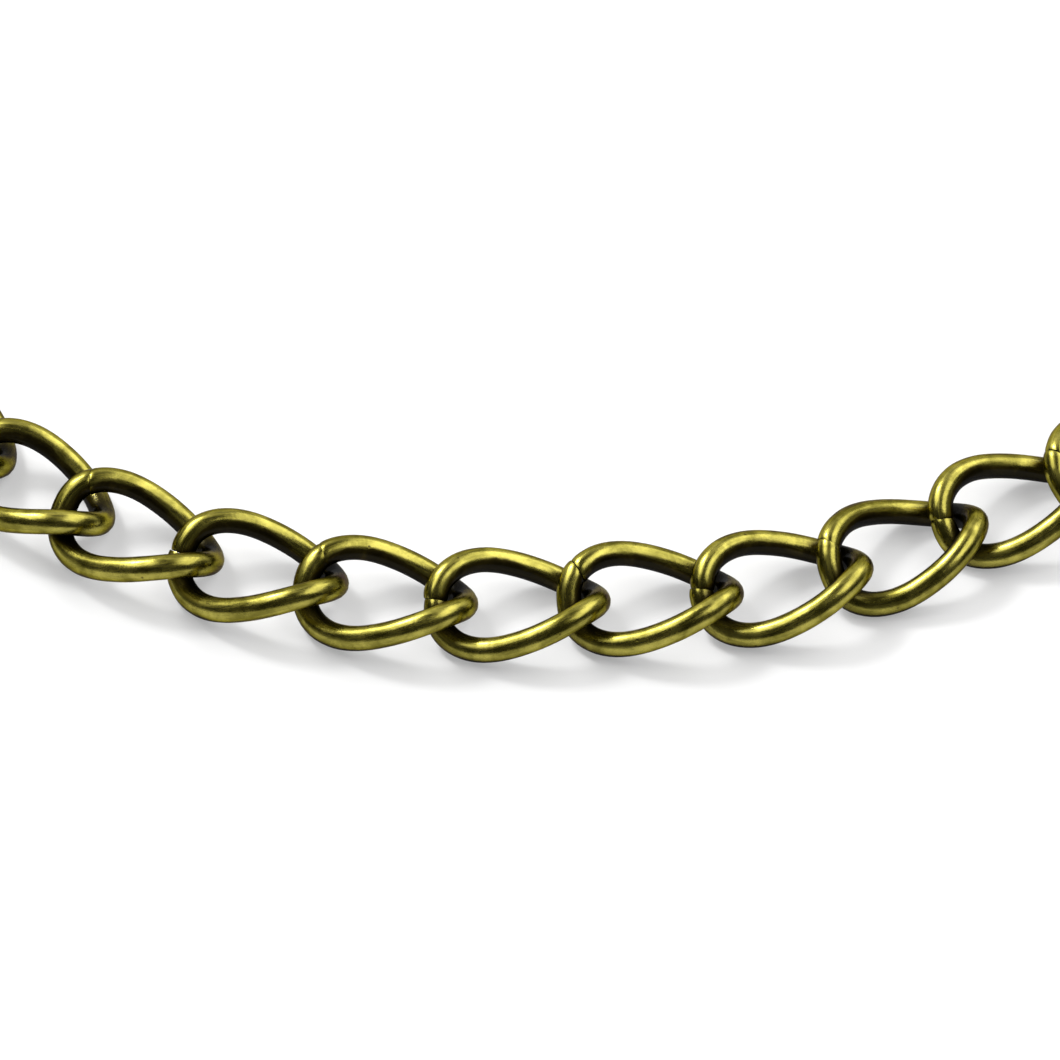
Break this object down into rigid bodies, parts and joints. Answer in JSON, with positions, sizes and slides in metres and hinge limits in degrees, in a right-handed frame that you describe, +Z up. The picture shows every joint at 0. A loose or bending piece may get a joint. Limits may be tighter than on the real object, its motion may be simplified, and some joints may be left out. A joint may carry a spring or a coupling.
{
  "type": "watch chain",
  "caption": "Short curb-link pocket watch chain with a T-bar at one end and a swivel clasp with a sprung gate at the other.",
  "frame": {"origin": "on the table, under the middle of the chain's bounding box as it lies", "axes": "+Y along both arms of the open U, from the bend towards the T-bar and the clasp; +Z up from the table; +X from the T-bar arm to the clasp arm"},
  "size_m": [0.0998, 0.1078, 0.0045],
  "materials": {
    "antique_brass": "worn antique brass, smooth",
    "spring_steel": "bare spring wire"
  },
  "bodies": {
    "tbar": {"tbar_rod": "antique_brass", "tbar_ball_left": "antique_brass", "tbar_ball_right": "antique_brass", "tbar_collar": "antique_brass", "tbar_bail": "antique_brass"},
    "tbar_jump_ring": {"tbar_jump_ring": "antique_brass"},
    "link_01": {"link_01": "antique_brass"},
    "link_02": {"link_02": "antique_brass"},
    "link_03": {"link_03": "antique_brass"},
    "link_04": {"link_04": "antique_brass"},
    "link_05": {"link_05": "antique_brass"},
    "link_06": {"link_06": "antique_brass"},
    "link_07": {"link_07": "antique_brass"},
    "link_08": {"link_08": "antique_brass"},
    "link_09": {"link_09": "antique_brass"},
    "link_10": {"link_10": "antique_brass"},
    "link_11": {"link_11": "antique_brass"},
    "link_12": {"link_12": "antique_brass"},
    "link_13": {"link_13": "antique_brass"},
    "link_14": {"link_14": "antique_brass"},
    "link_15": {"link_15": "antique_brass"},
    "link_16": {"link_16": "antique_brass"},
    "link_17": {"link_17": "antique_brass"},
    "link_18": {"link_18": "antique_brass"},
    "link_19": {"link_19": "antique_brass"},
    "link_20": {"link_20": "antique_brass"},
    "link_21": {"link_21": "antique_brass"},
    "link_22": {"link_22": "antique_brass"},
    "link_23": {"link_23": "antique_brass"},
    "link_24": {"link_24": "antique_brass"},
    "link_25": {"link_25": "antique_brass"},
    "link_26": {"link_26": "antique_brass"},
    "link_27": {"link_27": "antique_brass"},
    "link_28": {"link_28": "antique_brass"},
    "link_29": {"link_29": "antique_brass"},
    "link_30": {"link_30": "antique_brass"},
    "link_31": {"link_31": "antique_brass"},
    "link_32": {"link_32": "antique_brass"},
    "link_33": {"link_33": "antique_brass"},
    "link_34": {"link_34": "antique_brass"},
    "clasp_jump_ring": {"clasp_jump_ring": "antique_brass"},
    "swivel_eye": {"swivel_eye": "antique_brass"},
    "clasp": {"clasp_body": "antique_brass", "gate_rivet": "antique_brass"},
    "gate": {"clasp_gate": "antique_brass", "gate_spring": "spring_steel"}
  },
  "joints": [
    {"name": "gate_hinge", "type": "hinge", "parent": "clasp", "child": "gate", "pos_m": [0.04223, 0.04252, 0.0015], "axis": [0, 0, 1], "range_deg": [-28, 0], "stiffness_Nm_per_rad": 0.001, "springref_deg": 17.19},
    {"name": "swivel_spin", "type": "hinge", "parent": "swivel_eye", "child": "clasp", "pos_m": [0.04553, 0.03887, 0.0015], "axis": [0, 1, 0], "continuous": true},
    {"name": "tbar_jump_ring_swing", "type": "hinge", "parent": "tbar", "child": "tbar_jump_ring", "pos_m": [-0.03659, 0.04133, 0.00239], "axis": [1, 0, 0], "range_deg": [-33, 8]},
    {"name": "clasp_jump_ring_swing", "type": "hinge", "parent": "link_34", "child": "clasp_jump_ring", "pos_m": [0.04553, 0.02889, 0.00191], "axis": [-0.8192, 0, 0.5736], "range_deg": [-18, 35]},
    {"name": "swivel_eye_swing", "type": "hinge", "parent": "clasp_jump_ring", "child": "swivel_eye", "pos_m": [0.04553, 0.03399, 0.00191], "axis": [-0.8192, 0, 0.5736], "range_deg": [-12, 30]},
    {"name": "link_01_swing", "type": "hinge", "parent": "tbar_jump_ring", "child": "link_01", "pos_m": [-0.03654, 0.03923, 0.00143], "axis": [-0.797, 0.0505, -0.6018], "range_deg": [-40, 40]},
    {"name": "link_02_swing", "type": "hinge", "parent": "link_01", "child": "link_02", "pos_m": [-0.03704, 0.03136, 0.00143], "axis": [-0.797, 0.0505, 0.6018], "range_deg": [-40, 39]},
    {"name": "link_03_swing", "type": "hinge", "parent": "link_02", "child": "link_03", "pos_m": [-0.03704, 0.02632, 0.00143], "axis": [0.797, 0.0509, 0.6018], "range_deg": [-40, 39]},
    {"name": "link_04_swing", "type": "hinge", "parent": "link_03", "child": "link_04", "pos_m": [-0.03654, 0.01845, 0.00143], "axis": [0.797, 0.0509, -0.6018], "range_deg": [-40, 35]},
    {"name": "link_05_swing", "type": "hinge", "parent": "link_04", "child": "link_05", "pos_m": [-0.03691, 0.01343, 0.00143], "axis": [-0.7985, 0.0161, -0.6018], "range_deg": [-40, 40]},
    {"name": "link_06_swing", "type": "hinge", "parent": "link_05", "child": "link_06", "pos_m": [-0.03707, 0.00555, 0.00143], "axis": [-0.7985, 0.0161, 0.6018], "range_deg": [-40, 37]},
    {"name": "link_07_swing", "type": "hinge", "parent": "link_06", "child": "link_07", "pos_m": [-0.03658, 0.00056, 0.00143], "axis": [0.7981, -0.0299, 0.6018], "range_deg": [-36, 40]},
    {"name": "link_08_swing", "type": "hinge", "parent": "link_07", "child": "link_08", "pos_m": [-0.03688, -0.00732, 0.00143], "axis": [0.7981, -0.0299, -0.6018], "range_deg": [-40, 40]},
    {"name": "link_09_swing", "type": "hinge", "parent": "link_08", "child": "link_09", "pos_m": [-0.03719, -0.01234, 0.00143], "axis": [-0.7927, -0.0973, -0.6018], "range_deg": [-32, 40]},
    {"name": "link_10_swing", "type": "hinge", "parent": "link_09", "child": "link_10", "pos_m": [-0.03623, -0.02016, 0.00143], "axis": [-0.7927, -0.0973, 0.6018], "range_deg": [-40, 32]},
    {"name": "link_11_swing", "type": "hinge", "parent": "link_10", "child": "link_11", "pos_m": [-0.03481, -0.02493, 0.00143], "axis": [0.7178, 0.3501, 0.6018], "range_deg": [-40, 32]},
    {"name": "link_12_swing", "type": "hinge", "parent": "link_11", "child": "link_12", "pos_m": [-0.03136, -0.03202, 0.00143], "axis": [0.7178, 0.3501, -0.6018], "range_deg": [-32, 40]},
    {"name": "link_13_swing", "type": "hinge", "parent": "link_12", "child": "link_13", "pos_m": [-0.02846, -0.03607, 0.00143], "axis": [-0.5647, -0.5647, -0.6018], "range_deg": [-32, 40]},
    {"name": "link_14_swing", "type": "hinge", "parent": "link_13", "child": "link_14", "pos_m": [-0.02289, -0.04164, 0.00143], "axis": [-0.5647, -0.5647, 0.6018], "range_deg": [-40, 31]},
    {"name": "link_15_swing", "type": "hinge", "parent": "link_14", "child": "link_15", "pos_m": [-0.01919, -0.04465, 0.00174], "axis": [0.3771, 0.7275, 0.5732], "range_deg": [-16, 34]},
    {"name": "link_16_swing", "type": "hinge", "parent": "link_15", "child": "link_16", "pos_m": [-0.01212, -0.0481, 0.00146], "axis": [0.3209, 0.7081, -0.6289], "range_deg": [-40, 40]},
    {"name": "link_17_swing", "type": "hinge", "parent": "link_16", "child": "link_17", "pos_m": [-0.00734, -0.04965, 0.00147], "axis": [-0.1241, -0.7672, -0.6292], "range_deg": [-15, 40]},
    {"name": "link_18_swing", "type": "hinge", "parent": "link_17", "child": "link_18", "pos_m": [0.00042, -0.05102, 0.00161], "axis": [-0.1521, -0.805, 0.5735], "range_deg": [-40, 19]},
    {"name": "link_19_swing", "type": "hinge", "parent": "link_18", "child": "link_19", "pos_m": [0.00549, -0.05058, 0.00146], "axis": [-0.0491, 0.7759, 0.6289], "range_deg": [-40, 40]},
    {"name": "link_20_swing", "type": "hinge", "parent": "link_19", "child": "link_20", "pos_m": [0.01336, -0.05031, 0.00174], "axis": [-0.0086, 0.8194, -0.5732], "range_deg": [-21, 40]},
    {"name": "link_21_swing", "type": "hinge", "parent": "link_20", "child": "link_21", "pos_m": [0.01834, -0.04901, 0.00149], "axis": [0.3908, -0.6718, -0.6292], "range_deg": [-11, 40]},
    {"name": "link_22_swing", "type": "hinge", "parent": "link_21", "child": "link_22", "pos_m": [0.02509, -0.04495, 0.00136], "axis": [0.4305, -0.697, 0.5735], "range_deg": [-25, 40]},
    {"name": "link_23_swing", "type": "hinge", "parent": "link_22", "child": "link_23", "pos_m": [0.0299, -0.04327, 0.00142], "axis": [-0.5422, 0.5865, 0.6017], "range_deg": [-40, 14]},
    {"name": "link_24_swing", "type": "hinge", "parent": "link_23", "child": "link_24", "pos_m": [0.03576, -0.038, 0.00155], "axis": [-0.5266, 0.6005, -0.6017], "range_deg": [-26, 40]},
    {"name": "link_25_swing", "type": "hinge", "parent": "link_24", "child": "link_25", "pos_m": [0.03889, -0.03406, 0.00143], "axis": [0.6985, -0.3872, -0.6018], "range_deg": [-32, 40]},
    {"name": "link_26_swing", "type": "hinge", "parent": "link_25", "child": "link_26", "pos_m": [0.04271, -0.02717, 0.00143], "axis": [0.6985, -0.3872, 0.6018], "range_deg": [-40, 32]},
    {"name": "link_27_swing", "type": "hinge", "parent": "link_26", "child": "link_27", "pos_m": [0.04437, -0.02248, 0.00143], "axis": [-0.7865, 0.1387, 0.6018], "range_deg": [-40, 32]},
    {"name": "link_28_swing", "type": "hinge", "parent": "link_27", "child": "link_28", "pos_m": [0.04574, -0.01472, 0.00143], "axis": [-0.7865, 0.1387, -0.6018], "range_deg": [-32, 40]},
    {"name": "link_29_swing", "type": "hinge", "parent": "link_28", "child": "link_29", "pos_m": [0.04564, -0.0097, 0.00143], "axis": [0.7981, -0.0299, -0.6018], "range_deg": [-40, 40]},
    {"name": "link_30_swing", "type": "hinge", "parent": "link_29", "child": "link_30", "pos_m": [0.04594, -0.00182, 0.00143], "axis": [0.7981, -0.0299, 0.6018], "range_deg": [-40, 36]},
    {"name": "link_31_swing", "type": "hinge", "parent": "link_30", "child": "link_31", "pos_m": [0.04545, 0.00317, 0.00143], "axis": [-0.7985, 0.0161, 0.6018], "range_deg": [-37, 40]},
    {"name": "link_32_swing", "type": "hinge", "parent": "link_31", "child": "link_32", "pos_m": [0.04561, 0.01105, 0.00143], "axis": [-0.7985, 0.0161, -0.6018], "range_deg": [-40, 40]},
    {"name": "link_33_swing", "type": "hinge", "parent": "link_32", "child": "link_33", "pos_m": [0.04598, 0.01607, 0.00143], "axis": [0.797, 0.0509, -0.6018], "range_deg": [-35, 40]},
    {"name": "link_34_swing", "type": "hinge", "parent": "link_33", "child": "link_34", "pos_m": [0.04548, 0.02394, 0.00143], "axis": [0.797, 0.0509, 0.6018], "range_deg": [-39, 40]}
  ]
}
